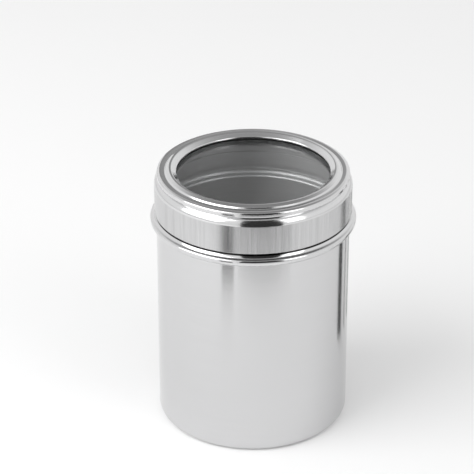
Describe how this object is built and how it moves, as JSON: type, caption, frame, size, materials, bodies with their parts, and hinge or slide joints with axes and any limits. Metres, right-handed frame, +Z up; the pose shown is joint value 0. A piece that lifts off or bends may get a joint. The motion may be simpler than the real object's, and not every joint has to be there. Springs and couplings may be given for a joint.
{
  "type": "storage canister",
  "caption": "Tall round stainless steel storage canister with a seat bead and a slip-on lid that holds a clear window in a gasket.",
  "frame": {"origin": "centre of the base, in the plane of the surface that the canister stands on", "axes": "+Z up along the canister's axis, from the base to the lid; -Y towards the viewer of the picture"},
  "size_m": [0.1064, 0.1064, 0.1409],
  "materials": {
    "body_steel": "bright satin, polished on the outside",
    "lid_steel": "polished rings, skirt brushed along its height",
    "gasket_rubber": "black, matt",
    "clear_window": "clear, polished",
    "ring_steel": "satin"
  },
  "bodies": {
    "canister": {"canister_body": "body_steel"},
    "lid": {"lid_ring": "lid_steel", "window_gasket": "gasket_rubber", "lid_window": "clear_window", "retaining_ring": "ring_steel"}
  },
  "joints": [
    {"name": "lid_lift", "type": "slide", "parent": "canister", "child": "lid", "axis": [0, 0, 1], "range_m": [0, 0.1]}
  ]
}
